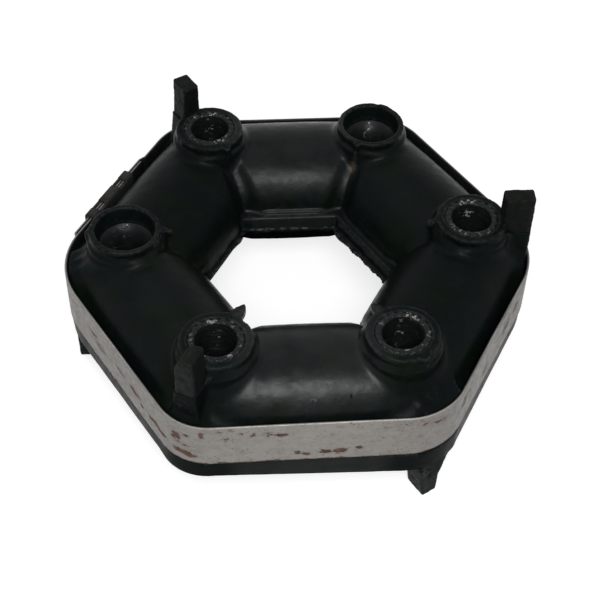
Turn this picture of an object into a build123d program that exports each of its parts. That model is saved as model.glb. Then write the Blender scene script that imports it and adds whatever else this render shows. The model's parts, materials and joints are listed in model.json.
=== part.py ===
"""Hexagonal rubber coupling for a car's drive shaft, with its steel assembly band.

Six bulged rubber barrels join six bonded metal inserts into one ring.  Each
insert holds a steel sleeve for a flange bolt, and ends in a bar
inside the band: three bars stand up past the ring and three reach down, where
the ring rests on them.  A band of steel strapping, closed by a crimped seal,
holds the ring squeezed for fitting.

The origin is at the middle of the ring, +Z is the axis of the shaft, and the
first bolt station lies on +X.  Sizes are in millimetres.
"""

import os
from math import cos, radians, sin, tan

from build123d import *

# ------------------------------------------------------------ driving sizes
# Bolt pattern and sleeves
bolt_circle_radius = 50.8
station_count = 6
bolt_bore = 11.6
sleeve_wall = 2.1
sleeve_length = 46.8
sleeve_proud = 0.2
sleeve_edge = 0.4
bore_chamfer = 0.6

# Rubber ring
barrel_radius = 18.8
barrel_bulge = 0.6
barrel_end_round = 2.8
collar_wall = 2.6
collar_edge = 0.7
shoulder_below_rim = 2.8
shoulder_width = 0.9
shoulder_drop = 0.8
shoulder_flare = 0.6
mouth_rim = 1.7
mouth_depth = 12.0
funnel_stations = (1, 3)
land_proud = 2.2
land_top = 3.2
land_bottom = -2.0
land_depth = 9.0
bare_sides = (2, 3, 5)
bare_sink = 1.0
bare_flash = 0.8
parting_flash = 0.6
wide_flash_sides = (0,)
wide_flash = 1.4
parting_thickness = 0.8
lip_height = 6.2
lip_depth = 14.0
lip_setback = 0.5
lip_round = 2.4

# Bonded inserts
web_thickness = 4.0
web_sink = 0.8
hub_wall = 1.5
hub_sink = 0.4
bar_depth = 7.6
bar_root_width = 6.8
bar_tip_width = 5.2
bar_tip_height = 32.0
bar_short_setback = 0.65
bar_edge = 1.1
bar_tip_edge = 1.3

# Assembly band and seal
band_height = 15.8
band_thickness = 0.8
band_middle = 1.75
band_corner_radius = 27.5
band_to_barrel = 0.4
band_gap = 0.2
band_overlap = 38.0
band_step_length = 2.0
band_slit = 0.6
band_layer_gap = 0.1
seal_before_station = 3
seal_offset = 3.5
seal_length = 23.0
seal_thickness = 0.9
seal_clearance = 0.05
seal_flap_gap = 5.0
crimp_count = 2
crimp_depth = 2.0
crimp_width = 3.6

# ------------------------------------------------------------ worked out
step = 360.0 / station_count
half_step = step / 2
apothem = bolt_circle_radius * cos(radians(half_step))
half_chord = bolt_circle_radius * sin(radians(half_step))
sleeve_half = sleeve_length / 2
sleeve_radius = bolt_bore / 2 + sleeve_wall
barrel_end_radius = barrel_radius - barrel_bulge
collar_radius = sleeve_radius + collar_wall
collar_height = sleeve_half - sleeve_proud
shoulder_radius = collar_radius + shoulder_width
shoulder_height = collar_height - shoulder_below_rim
mouth_radius = collar_radius - mouth_rim
barrel_inside = apothem - barrel_radius
web_height = barrel_end_radius - web_sink
web_half_length = web_height / cos(radians(half_step))
band_inner_apothem = apothem + barrel_radius + band_to_barrel
band_outer_apothem = band_inner_apothem + band_thickness
band_inner_corner = band_corner_radius - band_thickness
band_bottom = band_middle - band_height / 2
band_top = band_middle + band_height / 2
corner_stretch = 1 / cos(radians(half_step)) - 1
band_inner_reach = band_inner_apothem + corner_stretch * (band_inner_apothem - band_inner_corner)
bar_outer = band_inner_reach - band_gap
bar_inner = bar_outer - bar_depth
bar_short_height = band_top - bar_short_setback
lip_apothem = band_outer_apothem - lip_setback
lip_corner = band_corner_radius - lip_setback
envelope = 2 * bar_tip_height


def rounded_hexagon(flat_distance: float, corner_radius: float) -> Sketch:
    """Outline with its rounded corners at the bolt stations."""
    with BuildSketch() as outline:
        RegularPolygon(flat_distance, station_count, major_radius=False)
        fillet(outline.vertices(), corner_radius)
    return outline.sketch


def six_sided(side_distances: list[float]) -> Sketch:
    """Outline from how far each side lies from the axis, the first at the half step."""
    corners = []
    for number, ahead in enumerate(side_distances):
        behind = side_distances[number - 1]
        out = (ahead + behind) / 2 / cos(radians(half_step))
        across = (ahead - behind) / 2 / sin(radians(half_step))
        corners.append(Vector(out, across).rotate(Axis.Z, number * step))
    with BuildSketch() as outline:
        with BuildLine():
            Polyline(*corners, close=True)
        make_face()
    return outline.sketch


def write(piece: Part, name: str) -> None:
    """Label a finished piece and write it as its own file."""
    piece.label = name
    export_step(piece, f"parts/{name}.step")


os.makedirs("parts", exist_ok=True)

# ------------------------------------------------------------ bonded insert
# A web between two barrels, a hub round the sleeve, and a bar inside the band.
with BuildPart() as insert:
    with BuildSketch(Plane.XZ):
        with Locations((bolt_circle_radius, 0)):
            Ellipse(web_half_length, web_height)
        with Locations((bar_outer - bar_edge, 0)):
            Rectangle(
                2 * bar_outer,
                2 * web_height,
                align=(Align.MAX, Align.CENTER),
                mode=Mode.INTERSECT,
            )
    extrude(amount=web_thickness / 2, both=True)
    with Locations((bolt_circle_radius, 0)):
        Cylinder(sleeve_radius + hub_wall, 2 * (web_height - hub_sink))
    with BuildSketch(Plane.YZ.offset(bar_inner)) as bar_outline:
        with BuildLine():
            Polyline(
                (-bar_root_width / 2, -bar_short_height),
                (bar_root_width / 2, -bar_short_height),
                (bar_root_width / 2, band_top),
                (bar_tip_width / 2, bar_tip_height),
                (-bar_tip_width / 2, bar_tip_height),
                (-bar_root_width / 2, band_top),
                close=True,
            )
        make_face()
        fillet(bar_outline.vertices().group_by(Axis.Y)[-1], bar_tip_edge)
    extrude(amount=bar_depth)
    outer_edges = insert.faces().sort_by(Axis.X)[-1].edges()
    fillet(outer_edges.sort_by(Axis.Z)[1:], bar_edge)
    with Locations((bolt_circle_radius, 0)):
        Hole(sleeve_radius)

with BuildPart() as insert_turned:
    mirror(insert.part, about=Plane.XY)

# ------------------------------------------------------------ sleeves
# A plain sleeve has chamfered ends.  At some stations the upper mouth is a
# funnel that runs on into the rubber collar, so that sleeve stops lower.
funnel_slope = (mouth_radius - bolt_bore / 2) / mouth_depth
funnel_rim = collar_height - (mouth_radius - sleeve_radius + sleeve_edge) / funnel_slope
sleeve_foot = [
    (bolt_bore / 2, -sleeve_half + bore_chamfer),
    (bolt_bore / 2 + bore_chamfer, -sleeve_half),
    (sleeve_radius - sleeve_edge, -sleeve_half),
    (sleeve_radius, -sleeve_half + sleeve_edge),
]
plain_top = [
    (sleeve_radius, sleeve_half - sleeve_edge),
    (sleeve_radius - sleeve_edge, sleeve_half),
    (bolt_bore / 2 + bore_chamfer, sleeve_half),
    (bolt_bore / 2, sleeve_half - bore_chamfer),
]
funnel_top = [
    (sleeve_radius, funnel_rim),
    (sleeve_radius - sleeve_edge, funnel_rim),
    (bolt_bore / 2, collar_height - mouth_depth),
]
with BuildPart() as sleeve:
    with BuildSketch(Plane.XZ):
        with BuildLine():
            Polyline(*sleeve_foot, *plain_top, close=True)
        make_face()
    revolve(axis=Axis.Z)

with BuildPart() as funnel_sleeve:
    with BuildSketch(Plane.XZ):
        with BuildLine():
            Polyline(*sleeve_foot, *funnel_top, close=True)
        make_face()
    revolve(axis=Axis.Z)

# The room that each kind of sleeve takes in the rubber
with BuildPart() as sleeve_room:
    Cylinder(sleeve_radius, envelope)

with BuildPart() as funnel_room:
    with BuildSketch(Plane.XZ):
        with BuildLine():
            Polyline(
                (0, -envelope / 2),
                (sleeve_radius, -envelope / 2),
                (sleeve_radius, funnel_rim),
                (sleeve_radius - sleeve_edge, funnel_rim),
                (mouth_radius, collar_height),
                (mouth_radius, envelope / 2),
                (0, envelope / 2),
                close=True,
            )
        make_face()
    revolve(axis=Axis.Z)

# ------------------------------------------------------------ crimped seal
# It lies in the middle of one side, wrapped round both layers of the band.
seal_side = radians((seal_before_station - 0.5) * step)
seal_radial = Vector(cos(seal_side), sin(seal_side), 0)
seal_tangent = Vector(-sin(seal_side), cos(seal_side), 0)
tail_inner = band_outer_apothem + band_layer_gap
tail_outer = tail_inner + band_thickness
seal_inside_depth = tail_outer - band_inner_apothem + 2 * seal_clearance
seal_inside_height = band_height + 2 * seal_clearance
seal_outside_depth = seal_inside_depth + 2 * seal_thickness
seal_outside_height = seal_inside_height + 2 * seal_thickness
seal_middle = (tail_outer + band_inner_apothem) / 2
seal_end = Plane(
    origin=seal_tangent * (seal_offset + seal_length / 2),
    x_dir=seal_radial,
    z_dir=-seal_tangent,
)
with BuildPart() as band_seal:
    with BuildSketch(seal_end):
        with Locations((seal_middle, band_middle)):
            RectangleRounded(seal_outside_depth, seal_outside_height, seal_thickness)
            Rectangle(seal_inside_depth, seal_inside_height, mode=Mode.SUBTRACT)
        with Locations((seal_middle - seal_inside_depth / 2, band_middle)):
            Rectangle(
                2 * seal_thickness,
                seal_flap_gap,
                align=(Align.MAX, Align.CENTER),
                mode=Mode.SUBTRACT,
            )
    extrude(amount=seal_length)
    with BuildSketch(Plane(origin=(0, 0, 0), x_dir=seal_tangent, z_dir=seal_radial)):
        with Locations((seal_offset, band_middle)):
            with GridLocations(seal_length / crimp_count, seal_outside_height, crimp_count, 2):
                Rectangle(crimp_width, 2 * crimp_depth)
    extrude(amount=2 * tail_outer, mode=Mode.SUBTRACT)

with BuildPart() as seal_room:
    with BuildSketch(seal_end):
        with Locations((seal_middle, band_middle)):
            Rectangle(seal_outside_depth, seal_outside_height)
    extrude(amount=seal_length)

# ------------------------------------------------------------ assembly band
# One strip round the ring: its last stretch steps out and lies on its start.
tail_start = seal_offset - band_overlap / 2
tail_end = tail_start + band_overlap
step_start = tail_start - band_step_length
band_floor = Plane(origin=(0, 0, band_bottom), x_dir=seal_radial, z_dir=(0, 0, 1))
with BuildPart() as compression_band:
    with BuildSketch(Plane.XY.offset(band_bottom)):
        add(rounded_hexagon(band_outer_apothem, band_corner_radius))
        add(rounded_hexagon(band_inner_apothem, band_inner_corner), mode=Mode.SUBTRACT)
    extrude(amount=band_height)
    with BuildSketch(band_floor):
        with Locations((band_inner_apothem, step_start)):
            Rectangle(band_thickness, band_step_length + band_slit, align=(Align.MIN, Align.MIN))
    extrude(amount=band_height, mode=Mode.SUBTRACT)
    with BuildSketch(band_floor):
        with BuildLine():
            Polyline(
                (band_inner_apothem, step_start),
                (band_outer_apothem, step_start),
                (tail_outer, tail_start),
                (tail_outer, tail_end),
                (tail_inner, tail_end),
                (tail_inner, tail_start),
                close=True,
            )
        make_face()
    extrude(amount=band_height)

# ------------------------------------------------------------ rubber ring
# One barrel lies across the X axis, cut square to the web at each end.
barrel_span = (apothem + barrel_radius) * tan(radians(half_step)) + web_thickness
barrel_span_radius = barrel_radius - barrel_bulge * (barrel_span / half_chord) ** 2
wedge_tip = web_thickness / 2 / sin(radians(half_step))
wedge_reach = 2 * bolt_circle_radius
wedge_half_width = (wedge_reach - wedge_tip) * tan(radians(half_step))
with BuildPart() as barrel:
    with BuildSketch(Plane(origin=(apothem, 0, 0), x_dir=(0, 1, 0), z_dir=(1, 0, 0))):
        with BuildLine():
            Polyline(
                (barrel_span, barrel_span_radius),
                (barrel_span, 0),
                (-barrel_span, 0),
                (-barrel_span, barrel_span_radius),
            )
            ThreePointArc(
                (-barrel_span, barrel_span_radius),
                (0, barrel_radius),
                (barrel_span, barrel_span_radius),
            )
        make_face()
    revolve(axis=Axis((apothem, 0, 0), (0, 1, 0)))
    with BuildSketch(Plane.XY.offset(-barrel_radius)):
        with BuildLine():
            Polyline(
                (wedge_tip, 0),
                (wedge_reach, wedge_half_width),
                (wedge_reach, -wedge_half_width),
                close=True,
            )
        make_face()
    extrude(amount=2 * barrel_radius, mode=Mode.INTERSECT)
    fillet(barrel.faces().filter_by(GeomType.PLANE).edges(), barrel_end_round)

# A collar round each sleeve: a rim on a sloping shoulder, the same at both faces
with BuildPart() as collar:
    with BuildSketch(Plane.XZ):
        with BuildLine():
            Polyline(
                (0, 0),
                (shoulder_radius + shoulder_flare, 0),
                (shoulder_radius, shoulder_height - shoulder_drop),
                (collar_radius, shoulder_height),
                (collar_radius, collar_height - collar_edge),
                (collar_radius - collar_edge, collar_height),
                (0, collar_height),
                close=True,
            )
        make_face()
    revolve(axis=Axis.Z)
    mirror(about=Plane.XY)

# The land that the mould leaves round the hole, sunk on some sides, and its
# parting flash, which runs all round and is wide on some sides
land_distances = []
flash_distances = []
for side in range(station_count):
    if side in bare_sides:
        land_distances.append(barrel_inside + bare_sink)
        flash_distances.append(barrel_inside - bare_flash)
    else:
        flash = wide_flash if side in wide_flash_sides else parting_flash
        land_distances.append(barrel_inside - land_proud)
        flash_distances.append(barrel_inside - land_proud - flash)
with BuildPart() as land:
    for distances, thickness in (
        (land_distances, land_top - land_bottom),
        (flash_distances, parting_thickness),
    ):
        with BuildSketch(Plane.XY.offset(land_bottom)):
            RegularPolygon(barrel_inside - land_proud + land_depth, station_count, major_radius=False)
            add(six_sided(distances), mode=Mode.SUBTRACT)
        extrude(amount=thickness)

# The lip under the band
with BuildPart() as lip:
    with BuildSketch(Plane.XY.offset(band_bottom - lip_height)):
        add(rounded_hexagon(lip_apothem, lip_corner))
    extrude(amount=lip_height)
    fillet(lip.faces().sort_by(Axis.Z)[0].edges(), lip_round)
    with BuildSketch(Plane.XY.offset(band_bottom - lip_height)):
        add(rounded_hexagon(lip_apothem - lip_depth, lip_corner - lip_depth))
    extrude(amount=lip_height, mode=Mode.SUBTRACT)

with BuildPart() as rubber_ring:
    with PolarLocations(0, station_count, start_angle=half_step):
        add(barrel.part)
    with BuildSketch(Plane.XY.offset(-envelope)):
        add(rounded_hexagon(band_inner_apothem - band_gap, band_inner_corner - band_gap))
    extrude(amount=2 * envelope, mode=Mode.INTERSECT)
    with PolarLocations(bolt_circle_radius, station_count):
        add(collar.part)
    add(land.part)
    add(lip.part)
    # pockets for the bonded pieces and the seal
    for number in range(station_count):
        with Locations(Rotation(0, 0, number * step)):
            add(insert.part if number % 2 == 0 else insert_turned.part, mode=Mode.SUBTRACT)
        with PolarLocations(bolt_circle_radius, 1, start_angle=number * step):
            add(funnel_room.part if number in funnel_stations else sleeve_room.part, mode=Mode.SUBTRACT)
    add(seal_room.part, mode=Mode.SUBTRACT)

# ------------------------------------------------------------ placed pieces
write(rubber_ring.part, "rubber_ring")
write(compression_band.part, "compression_band")
write(band_seal.part, "band_seal")
for number in range(station_count):
    stands_up = number % 2 == 0
    with BuildPart() as placed_insert:
        with Locations(Rotation(0, 0, number * step)):
            add(insert.part if stands_up else insert_turned.part)
    write(placed_insert.part, f"bonded_insert_{number + 1}_{'up' if stands_up else 'down'}")
    with BuildPart() as placed_sleeve:
        with PolarLocations(bolt_circle_radius, 1, start_angle=number * step):
            add(funnel_sleeve.part if number in funnel_stations else sleeve.part)
    write(placed_sleeve.part, f"steel_sleeve_{number + 1}")
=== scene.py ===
"""Looks of a hexagonal rubber shaft coupling in its steel assembly band.

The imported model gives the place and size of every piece.  This script builds
the surface that a used coupling has round it: moulded rubber with its flash,
cast inserts with knocked-about lugs, toothed steel sleeves, rusty strapping and
a crimped seal.  Lengths are in metres and angles in degrees.
"""

import itertools
import json
import logging
import math
from collections.abc import Callable
from dataclasses import dataclass, field
from enum import Enum

import bpy
import numpy as np
from mathutils import Matrix, Vector

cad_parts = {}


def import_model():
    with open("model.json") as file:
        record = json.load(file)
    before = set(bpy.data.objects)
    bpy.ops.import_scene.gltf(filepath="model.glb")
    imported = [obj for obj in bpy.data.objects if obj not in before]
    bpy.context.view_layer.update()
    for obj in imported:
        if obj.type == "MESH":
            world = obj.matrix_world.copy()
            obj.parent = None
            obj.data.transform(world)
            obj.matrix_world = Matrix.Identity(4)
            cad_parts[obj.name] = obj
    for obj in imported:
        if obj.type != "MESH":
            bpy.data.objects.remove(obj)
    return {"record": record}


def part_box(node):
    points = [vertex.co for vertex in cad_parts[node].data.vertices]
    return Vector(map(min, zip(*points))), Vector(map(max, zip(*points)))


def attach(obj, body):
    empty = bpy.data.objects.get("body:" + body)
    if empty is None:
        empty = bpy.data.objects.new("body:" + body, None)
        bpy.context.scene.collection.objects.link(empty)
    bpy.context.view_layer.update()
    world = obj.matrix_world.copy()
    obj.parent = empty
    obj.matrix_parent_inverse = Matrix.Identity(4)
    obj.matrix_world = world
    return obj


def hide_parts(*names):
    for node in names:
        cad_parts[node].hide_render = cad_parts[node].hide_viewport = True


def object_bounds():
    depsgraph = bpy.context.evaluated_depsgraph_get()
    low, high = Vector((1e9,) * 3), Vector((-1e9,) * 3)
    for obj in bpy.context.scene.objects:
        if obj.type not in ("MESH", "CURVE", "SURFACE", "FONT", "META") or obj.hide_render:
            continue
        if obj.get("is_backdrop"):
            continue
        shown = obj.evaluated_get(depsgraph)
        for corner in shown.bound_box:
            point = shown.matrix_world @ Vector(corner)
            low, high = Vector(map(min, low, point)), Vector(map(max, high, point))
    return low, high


MM = 0.001
BODY = "root"
STATION_COUNT = 6
STEP = 360 / STATION_COUNT
HALF_COSINE = math.cos(math.radians(STEP / 2))
HALF_SINE = math.sin(math.radians(STEP / 2))
BAND_CORNERS = tuple(radius * MM for radius in (27.5, 19.0, 19.0, 27.5, 16.0, 19.0))
LEAST_SLOPE = 0.2
FAR = 1.0
WHITE = (1, 1, 1, 1)
HASHES = (73856093, 19349663, 83492791)
SEED_HASH = 26544357
MIX_HASH = 1274126177
WORD = 0xFFFFFFFF
HALF_WORD = 0xFFFF
LOG = logging.getLogger("coupling")

Values = np.ndarray
Distance = Callable[[Values], Values]
Triple = tuple[float, float, float]
Colour = Triple
Piece = bpy.types.Object
Material = bpy.types.Material
Socket = bpy.types.NodeSocket


class Slot(Enum):
    """The record's material slots."""

    RUBBER = "rubber"
    CAST_METAL = "cast_metal"
    SLEEVE_STEEL = "sleeve_steel"
    BAND_STEEL = "band_steel"
    SEAL_STEEL = "seal_steel"


class Mark(Enum):
    """Surface marks that the meshes carry for their finishes."""

    # Wear on edges, which on the sleeves also holds painted glints and on the band a painted
    # highlight.
    WORN = "worn"
    HOLLOW = "hollow"
    RUST = "rust"
    # Shine of the rubber side by side; on the inserts and the band it paints light and shade into
    # the colour.
    SHEEN = "sheen"


class Pointing(Enum):
    """Which way the lug of a bonded insert points."""

    UP = 1
    DOWN = -1


# ------------------------------------------------------------------ shaping
def cosine(angle: float) -> float:
    """Cosine of an angle in degrees."""
    return math.cos(math.radians(angle))


def sine(angle: float) -> float:
    """Sine of an angle in degrees."""
    return math.sin(math.radians(angle))


def direction(angle: float) -> Vector:
    """Level direction of length one at an angle."""
    return Vector((cosine(angle), sine(angle), 0))


def joined(first: Values, second: Values, reach: float) -> Values:
    """Union of two distances, with the inner corner filled over a reach.

    Args:
        first: Distances to one form, negative inside it.
        second: Distances to the other form.
        reach: How far the blend spreads, about the radius of the fillet.

    Returns:
        Distances to the blended union.
    """
    share = np.clip(0.5 + 0.5 * (second - first) / reach, 0, 1)
    return second + (first - second) * share - reach * share * (1 - share)


def shared(first: Values, second: Values, reach: float) -> Values:
    """What lies in both forms, with the outer corner rounded over a reach."""
    return -joined(-first, -second, reach)


def cut(first: Values, second: Values, reach: float) -> Values:
    """The first form less the second, with the edge rounded over a reach."""
    return -joined(-first, second, reach)


def noise(points: Values, cell: float, seed: int) -> Values:
    """Smooth random values from -1 to 1 that belong to places in space.

    Args:
        points: Places, one row each.
        cell: Size of the features.
        seed: Picks one pattern of many.

    Returns:
        One value for each place.
    """
    scaled = np.asarray(points, np.float64) / cell
    base = np.floor(scaled)
    part = scaled - base
    part = part * part * (3 - 2 * part)
    base = base.astype(np.int64)
    total = np.zeros(len(scaled))
    for corner in itertools.product((0, 1), repeat=3):
        x, y, z = ((base + corner) * HASHES).T
        mixed = x ^ y ^ z ^ seed * SEED_HASH
        mixed = (mixed ^ (mixed >> 13)) * MIX_HASH & WORD
        value = ((mixed ^ (mixed >> 15)) & HALF_WORD) / (HALF_WORD / 2) - 1
        weight = np.where(corner, part, 1 - part).prod(axis=1)
        total += value * weight
    return total


def rough_noise(points: Values, cell: float, seed: int, octaves: int = 3) -> Values:
    """Noise with finer noise on it, each octave half the size and strength."""
    parts = enumerate(2**octave for octave in range(octaves))
    return sum(noise(points, cell / part, seed + octave) / part for octave, part in parts)


@dataclass(frozen=True)
class Casting:
    """Draws a closed mesh round the inside of a distance field.

    Attributes:
        pitch: Edge length of the faces.
        settling: How many times the points are moved onto the exact surface.
    """

    pitch: float
    settling: int = 2

    def draw(self, name: str, low: Vector, high: Vector, form: Distance) -> Piece:
        """Makes the object, with its mesh where the form is.

        Args:
            name: Name of the object.
            low: Lowest corner of a box that holds the form.
            high: Highest corner of that box.
            form: Distance field, negative inside the form.

        Returns:
            The new object, linked to the scene.
        """
        corner = np.array(low) - 2 * self.pitch
        counts = np.ceil((np.array(high) - corner) / self.pitch).astype(int) + 3
        axes = [corner[axis] + self.pitch * np.arange(counts[axis]) for axis in range(3)]
        values = self._sample(axes, form)
        places, quads = self._net(values)
        points = corner + self.pitch * places
        for _ in range(self.settling):
            points = self._settle(points, form)
        return make_object(name, points, quads.tolist())

    def _sample(self, axes: list[Values], form: Distance) -> Values:
        """Values of the form on the grid that the axes span, layer by layer."""
        across, up = np.meshgrid(axes[1], axes[2], indexing="ij")
        layers = []
        for place in axes[0]:
            layer = np.stack([np.full(across.size, place), across.ravel(), up.ravel()], axis=1)
            layers.append(form(layer).reshape(across.shape).astype(np.float32))
        return np.stack(layers)

    def _net(self, values: Values) -> tuple[Values, Values]:
        """Points in the cells that the surface crosses, and the quads between them."""
        size = np.array(values.shape)
        inside = values < 0
        offsets = np.array(list(itertools.product((0, 1), repeat=3)))
        held = np.zeros(size - 1, np.int8)
        for offset in offsets:
            held += inside[tuple(slice(o, n - 1 + o) for o, n in zip(offset, size))]
        crossed = (held > 0) & (held < len(offsets))
        cells = np.argwhere(crossed)
        index = np.full(crossed.shape, -1, np.int64)
        index[crossed] = np.arange(len(cells))
        corner_values = np.stack([values[tuple((cells + offset).T)] for offset in offsets], axis=1)
        total = np.zeros((len(cells), 3))
        hits = np.zeros(len(cells))
        for one, other in itertools.combinations(range(len(offsets)), 2):
            step = offsets[other] - offsets[one]
            if np.abs(step).sum() != 1:
                continue
            near, far = corner_values[:, one], corner_values[:, other]
            changes = (near < 0) != (far < 0)
            share = np.where(changes, near / np.where(changes, near - far, 1), 0)
            total += changes[:, None] * (offsets[one] + share[:, None] * step)
            hits += changes
        return cells + total / hits[:, None], self._quads(inside, index)

    @staticmethod
    def _quads(inside: Values, index: Values) -> Values:
        """One quad for each grid edge that the surface crosses, facing outward."""
        found = []
        for axis in range(3):
            held = np.moveaxis(inside, axis, 0)
            cells = np.moveaxis(index, axis, 0)
            changes = (held[:-1] != held[1:])[:, 1:-1, 1:-1]
            i, j, k = (np.argwhere(changes) + (0, 1, 1)).T
            round_edge = ((j - 1, k - 1), (j, k - 1), (j, k), (j - 1, k))
            quad = np.stack([cells[i, across, up] for across, up in round_edge], axis=1)
            flipped = held[i, j, k] == (axis == 1)
            quad[flipped] = quad[flipped][:, ::-1]
            found.append(quad)
        return np.concatenate(found)

    def _settle(self, points: Values, form: Distance) -> Values:
        """Moves points along the slope of the form to where it is nought."""
        slope = slope_of(points, form, self.pitch / 4)
        steepness = np.maximum((slope**2).sum(axis=1), LEAST_SLOPE)
        shift = form(points)[:, None] * slope / steepness[:, None]
        return points - np.clip(shift, -self.pitch, self.pitch)


def slope_of(points: Values, form: Distance, step: float) -> Values:
    """Slope of a form at points, from its values a step to each side."""
    rises = [form(points + move) - form(points - move) for move in np.eye(3) * step]
    return np.stack(rises, axis=1) / (2 * step)


def outward_of(points: Values, form: Distance, step: float) -> Values:
    """Directions of length one that lead straight out of a form."""
    slope = slope_of(points, form, step)
    return slope / np.maximum(np.linalg.norm(slope, axis=1), LEAST_SLOPE)[:, None]


def bend_of(points: Values, form: Distance, step: float) -> Values:
    """How sharply a form bends at points: above nought on outer edges, below in corners."""
    moves = np.eye(3) * step
    around = sum(form(points + move) + form(points - move) for move in moves)
    return (around - 6 * form(points)) / step


def turned(points: Values, angle: float, pointing: int = 1) -> Values:
    """Points turned about the shaft by an angle, and upside down where pointing is -1."""
    along, aside = cosine(angle), sine(angle)
    return points @ np.array([[along, aside, 0], [-aside, along, 0], [0, 0, pointing]])


def make_object(name: str, points: Values, faces: list) -> Piece:
    """Makes a smooth mesh object from points and faces and links it to the scene.

    Args:
        name: Name of the object and its mesh.
        points: Places of the vertices, one row each.
        faces: Vertex numbers of each face.

    Returns:
        The new object.
    """
    mesh = bpy.data.meshes.new(name)
    mesh.from_pydata(points.tolist(), [], faces)
    mesh.validate()
    mesh.shade_smooth()
    piece = bpy.data.objects.new(name, mesh)
    bpy.context.scene.collection.objects.link(piece)
    return piece


def read_points(piece: Piece) -> Values:
    """Vertex places of a mesh object, one row each."""
    places = np.empty(len(piece.data.vertices) * 3, np.float32)
    piece.data.vertices.foreach_get("co", places)
    return places.reshape(-1, 3).astype(np.float64)


def write_points(piece: Piece, places: Values) -> None:
    """Moves the vertices of a mesh object."""
    piece.data.vertices.foreach_set("co", places.astype(np.float32).ravel())
    piece.data.update()


def write_mark(piece: Piece, mark: Mark, values: Values) -> None:
    """Stores one value for each vertex, from nought to one, for the finish to read."""
    layer = piece.data.attributes.new(mark.value, "FLOAT", "POINT")
    layer.data.foreach_set("value", np.clip(values, 0, 1).astype(np.float32))


def thin_out(piece: Piece, most_triangles: int) -> None:
    """Joins small flat faces until the mesh has no more than so many triangles."""
    triangles = sum(len(face.vertices) - 2 for face in piece.data.polygons)
    if triangles <= most_triangles:
        return
    modifier = piece.modifiers.new("thin_out", "DECIMATE")
    modifier.ratio = most_triangles / triangles
    graph = bpy.context.evaluated_depsgraph_get()
    mesh = bpy.data.meshes.new_from_object(piece.evaluated_get(graph))
    piece.modifiers.clear()
    piece.data = mesh
    mesh.shade_smooth()


def finish_piece(piece: Piece, material: Material, node: str) -> None:
    """Dresses a piece, has it ride on the body and stand for its CAD node.

    Args:
        piece: The finished mesh.
        material: What it is made of.
        node: CAD node that the piece stands for.
    """
    piece.data.materials.append(material)
    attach(piece, BODY)
    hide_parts(node)
    LOG.info("built %s with %d faces", piece.name, len(piece.data.polygons))


# -------------------------------------------------------------------- sizes
@dataclass(frozen=True)
class CouplingSizes:
    """Sizes that the sub-assemblies share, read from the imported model.

    Attributes:
        bolt_circle: Radius of the circle that the bolt holes stand on.
        bore: Radius of a bolt hole.
        sleeve: Outer radius of a sleeve.
        sleeve_end: Height of the sleeves' end faces.
        collar_end: Height of the rubber collars.
        band_side: From the shaft to the outside of the band's flat sides.
        band_low: Height of the band's lower edge.
        band_high: Height of the band's upper edge.
        bar_reach: From the shaft to the outer face of the bars.
        lug_tip: Height of the lugs' tips.
    """

    bolt_circle: float
    bore: float
    sleeve: float
    sleeve_end: float
    collar_end: float
    band_side: float
    band_low: float
    band_high: float
    bar_reach: float
    lug_tip: float
    band_thickness: float = 0.8 * MM
    band_clearance: float = 0.4 * MM

    @classmethod
    def read(cls, record: dict) -> "CouplingSizes":
        """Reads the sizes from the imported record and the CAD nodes' boxes.

        Args:
            record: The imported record.

        Returns:
            The sizes that every sub-assembly is built to.
        """
        mounts = {mount["name"]: mount for mount in record["mounts"]}
        pattern = mounts["bolt_holes"]["dims"]
        sleeve_low, sleeve_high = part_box("steel_sleeve_1")
        band_low, band_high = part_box("compression_band")
        insert_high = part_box("bonded_insert_1_up")[1]
        return cls(
            bolt_circle=pattern["pcd_mm"] / 2 * MM,
            bore=pattern["hole_r_mm"] * MM,
            sleeve=(sleeve_high.y - sleeve_low.y) / 2,
            sleeve_end=sleeve_high.z,
            collar_end=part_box("rubber_ring")[1].z,
            band_side=-band_low.y,
            band_low=band_low.z,
            band_high=band_high.z,
            bar_reach=insert_high.x,
            lug_tip=insert_high.z,
        )

    @property
    def side(self) -> float:
        """From the shaft to the middle of a barrel."""
        return self.bolt_circle * HALF_COSINE

    @property
    def half_chord(self) -> float:
        """From the middle of a barrel to the bolt axis at its end."""
        return self.bolt_circle * HALF_SINE

    @property
    def band_inside(self) -> float:
        """From the shaft to the inside of the band's flat sides."""
        return self.band_side - self.band_thickness

    @property
    def barrel(self) -> float:
        """Radius of a barrel at its middle."""
        return self.band_inside - self.band_clearance - self.side


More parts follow.
